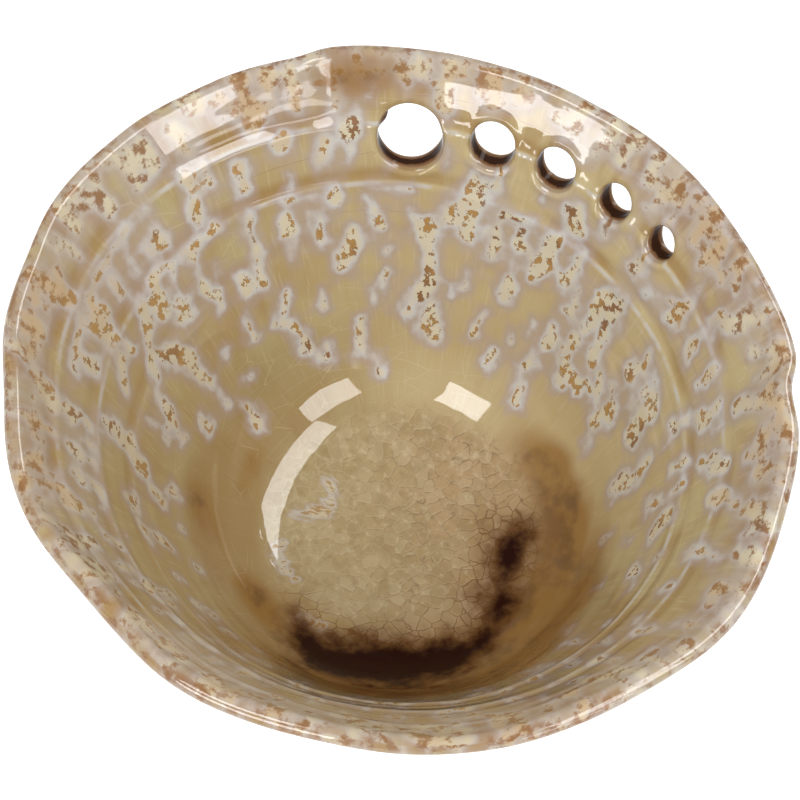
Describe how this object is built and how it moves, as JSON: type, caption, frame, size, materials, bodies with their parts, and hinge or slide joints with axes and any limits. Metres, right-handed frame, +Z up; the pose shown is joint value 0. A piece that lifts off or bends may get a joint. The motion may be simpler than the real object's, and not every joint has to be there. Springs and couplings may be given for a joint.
{
  "type": "stoneware bowl",
  "caption": "Deep wheel-thrown bowl with a flared wavy rim, a row of graded holes under the rim, a crackled glass pool in the well and a ring foot.",
  "frame": {"origin": "middle of the foot ring, on the surface that the bowl stands on", "axes": "+Z up out of the mouth, +Y out through the fourth hole of the row counted from the largest, +X to the right"},
  "size_m": [0.2312, 0.2166, 0.1259],
  "materials": {
    "bare_clay": "matt fired stoneware",
    "khaki_glaze": "gloss, variegated",
    "amber_glaze": "gloss, variegated",
    "pool_glaze": "high gloss, crackled",
    "dark_glaze": "gloss"
  },
  "bodies": {
    "root": {"clay_body": "bare_clay", "foot_ring": "bare_clay", "inner_glaze": "khaki_glaze", "outer_glaze": "khaki_glaze", "rim_glaze": "amber_glaze", "well_glaze_pool": "pool_glaze", "hole_glaze_1": "dark_glaze", "hole_glaze_2": "dark_glaze", "hole_glaze_3": "dark_glaze", "hole_glaze_4": "dark_glaze", "hole_glaze_5": "dark_glaze"}
  },
  "joints": []
}
